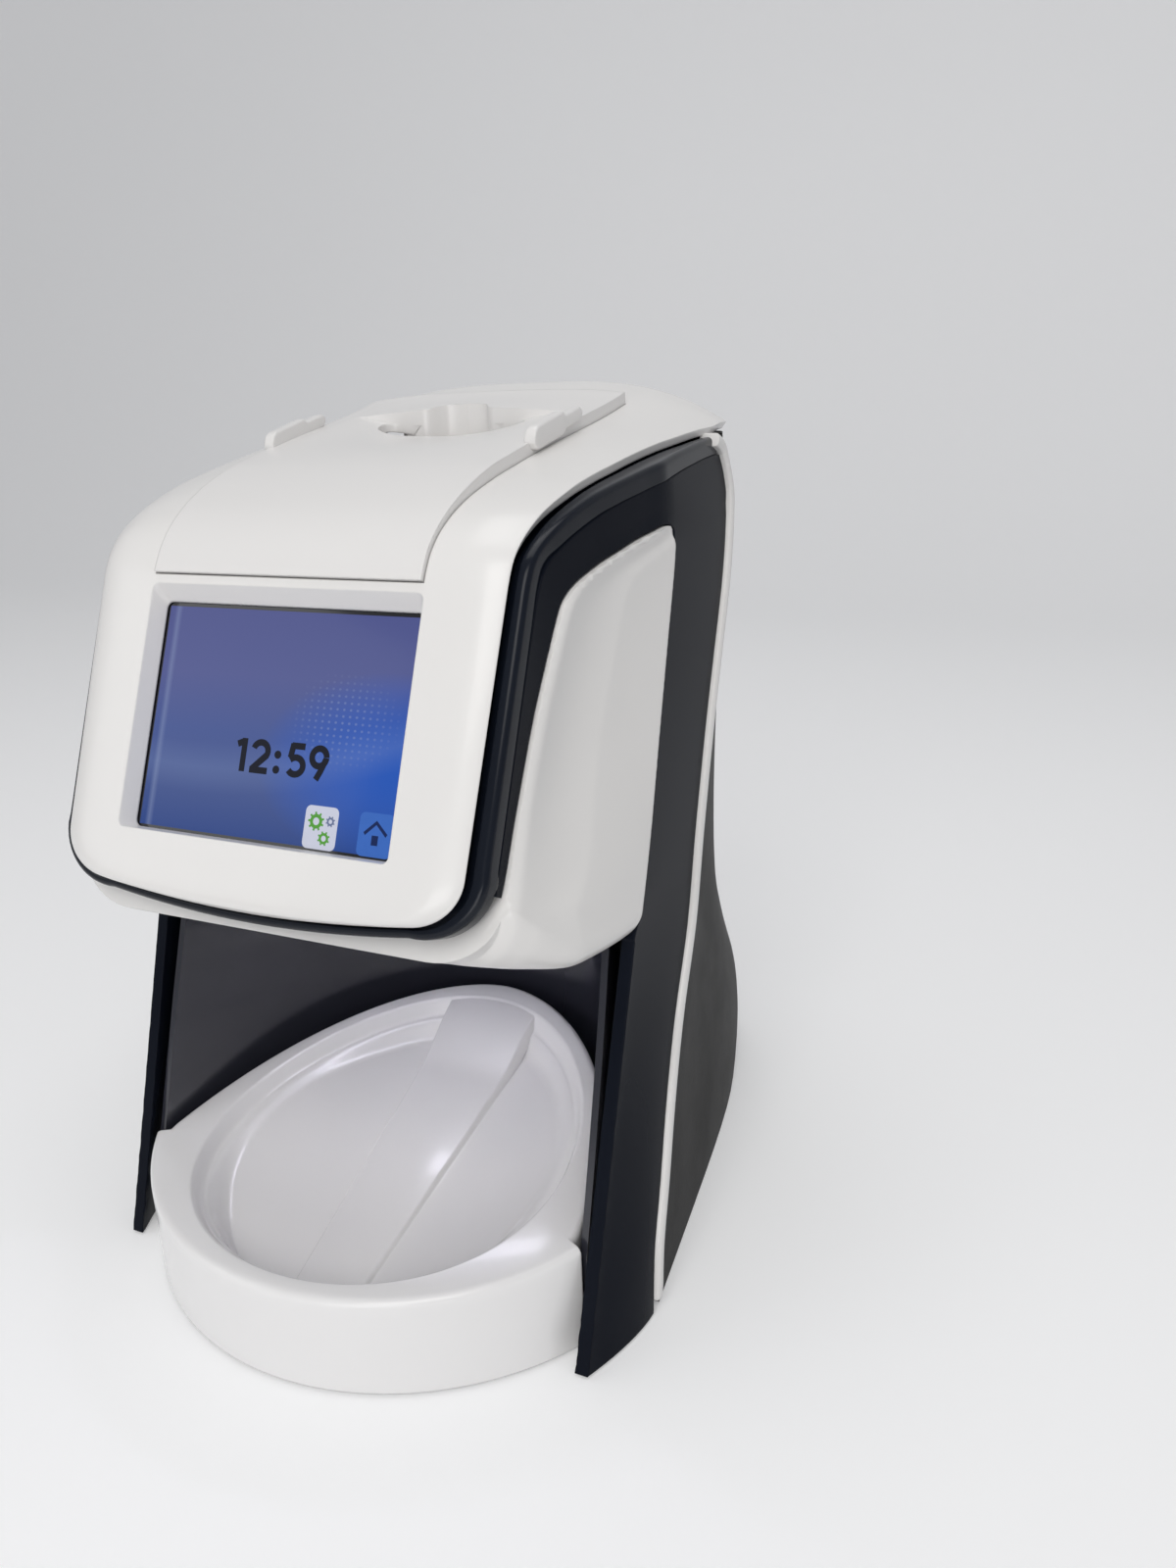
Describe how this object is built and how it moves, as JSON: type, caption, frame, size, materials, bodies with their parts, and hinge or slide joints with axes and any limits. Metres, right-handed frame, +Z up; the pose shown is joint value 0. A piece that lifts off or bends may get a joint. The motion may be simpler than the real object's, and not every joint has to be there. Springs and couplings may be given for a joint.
{
  "type": "phosphor plate scanner",
  "caption": "Desktop scanner for phosphor imaging plates: tilted touch display, top inlet under a lift-off cover, side wings, leaning legs and a pull-out receiving tray.",
  "frame": {"origin": "on the table, in the middle of the footprint", "axes": "+Z up, the display and the tray face -Y, +X is the right-hand side seen from the front"},
  "size_m": [0.1592, 0.2036, 0.2265],
  "materials": {
    "white_plastic": "smooth warm white",
    "dark_plastic": "high gloss anthracite",
    "grey_plastic": "fine matt texture",
    "black_plastic": "satin",
    "rubber": "matt",
    "steel": "satin",
    "board": "solder resist",
    "screen": "polished touch glass over a dark panel",
    "mirror": "polished",
    "clear": "clear"
  },
  "bodies": {
    "housing": {"hood": "white_plastic", "wing_cradle": "white_plastic", "trim_strip_left": "white_plastic", "trim_strip_right": "white_plastic", "head_frame": "dark_plastic", "head_rim": "dark_plastic", "side_panel_left": "dark_plastic", "side_panel_right": "dark_plastic", "bay_wall": "dark_plastic", "bay_ceiling": "dark_plastic", "rear_housing": "grey_plastic", "base_plate": "black_plastic", "rubber_foot_1": "rubber", "rubber_foot_2": "rubber", "rubber_foot_3": "rubber", "rubber_foot_4": "rubber", "touch_glass": "screen", "display_module": "black_plastic", "display_bracket": "steel", "display_board": "board", "bay_light_lens": "clear", "bay_light_board": "board", "chassis": "steel", "base_screw_left": "steel", "base_screw_right": "steel", "inlet_bridge": "black_plastic", "shutter_pin": "steel", "transport_frame": "steel", "plate_guide_front": "black_plastic", "plate_guide_rear": "black_plastic", "eraser_board": "board", "drive_motor": "black_plastic", "drive_belt": "rubber", "optics_bench": "steel", "mirror_motor": "black_plastic", "laser_module": "steel", "scan_lens": "clear", "photomultiplier": "black_plastic", "light_guide": "clear", "driver_board": "board", "high_voltage_box": "steel", "main_board": "board", "port_plate": "steel", "usb_jack": "black_plastic", "network_jack": "steel", "power_jack": "black_plastic", "switch_body": "black_plastic", "fan_frame": "black_plastic"},
    "tray": {"receiving_tray": "white_plastic"},
    "cover": {"inlet_cover": "white_plastic"},
    "shutter": {"shutter_flap": "black_plastic"},
    "rocker": {"power_rocker": "black_plastic"},
    "motor_shaft": {"motor_pulley": "steel"},
    "roller_upper": {"drive_roller_upper": "rubber"},
    "roller_lower": {"drive_roller_lower": "rubber"},
    "pinch_upper": {"pinch_roller_upper": "rubber"},
    "pinch_lower": {"pinch_roller_lower": "rubber"},
    "mirror_rotor": {"scan_mirror": "mirror"},
    "fan": {"fan_rotor": "black_plastic"}
  },
  "joints": [
    {"name": "tray_slide", "type": "slide", "parent": "housing", "child": "tray", "axis": [0, -1, 0], "range_m": [0, 0.13]},
    {"name": "cover_lift", "type": "slide", "parent": "housing", "child": "cover", "axis": [0, 0, 1], "range_m": [0, 0.03]},
    {"name": "shutter_turn", "type": "hinge", "parent": "housing", "child": "shutter", "pos_m": [0, 0.01595, 0.1989], "axis": [1, 0, 0], "range_deg": [0, 80], "stiffness_Nm_per_rad": 0.0004, "springref_deg": -17.19},
    {"name": "rocker_tilt", "type": "hinge", "parent": "housing", "child": "rocker", "pos_m": [0.025, 0.08965, 0.0262], "axis": [1, 0, 0], "range_deg": [-6, 6]},
    {"name": "motor_spin", "type": "hinge", "parent": "housing", "child": "motor_shaft", "pos_m": [0, 0.02245, 0.156], "axis": [1, 0, 0], "continuous": true},
    {"name": "roller_upper_spin", "type": "hinge", "parent": "housing", "child": "roller_upper", "pos_m": [0, 0.01765, 0.182], "axis": [1, 0, 0], "continuous": true},
    {"name": "roller_lower_spin", "type": "hinge", "parent": "housing", "child": "roller_lower", "pos_m": [0, 0.01765, 0.126], "axis": [1, 0, 0], "continuous": true},
    {"name": "pinch_upper_spin", "type": "hinge", "parent": "housing", "child": "pinch_upper", "pos_m": [0, 0.00805, 0.182], "axis": [1, 0, 0], "continuous": true},
    {"name": "pinch_lower_spin", "type": "hinge", "parent": "housing", "child": "pinch_lower", "pos_m": [0, 0.00805, 0.126], "axis": [1, 0, 0], "continuous": true},
    {"name": "mirror_spin", "type": "hinge", "parent": "housing", "child": "mirror_rotor", "pos_m": [0, -0.03355, 0.158], "axis": [0, 0, 1], "continuous": true},
    {"name": "fan_spin", "type": "hinge", "parent": "housing", "child": "fan", "pos_m": [0, 0.05745, 0.13], "axis": [0, 1, 0], "continuous": true}
  ],
  "couplings": [
    {"joint": "roller_upper_spin", "follows": "motor_spin", "ratio": 0.75},
    {"joint": "roller_lower_spin", "follows": "motor_spin", "ratio": 0.75},
    {"joint": "pinch_upper_spin", "follows": "motor_spin", "ratio": -0.9375},
    {"joint": "pinch_lower_spin", "follows": "motor_spin", "ratio": -0.9375}
  ]
}
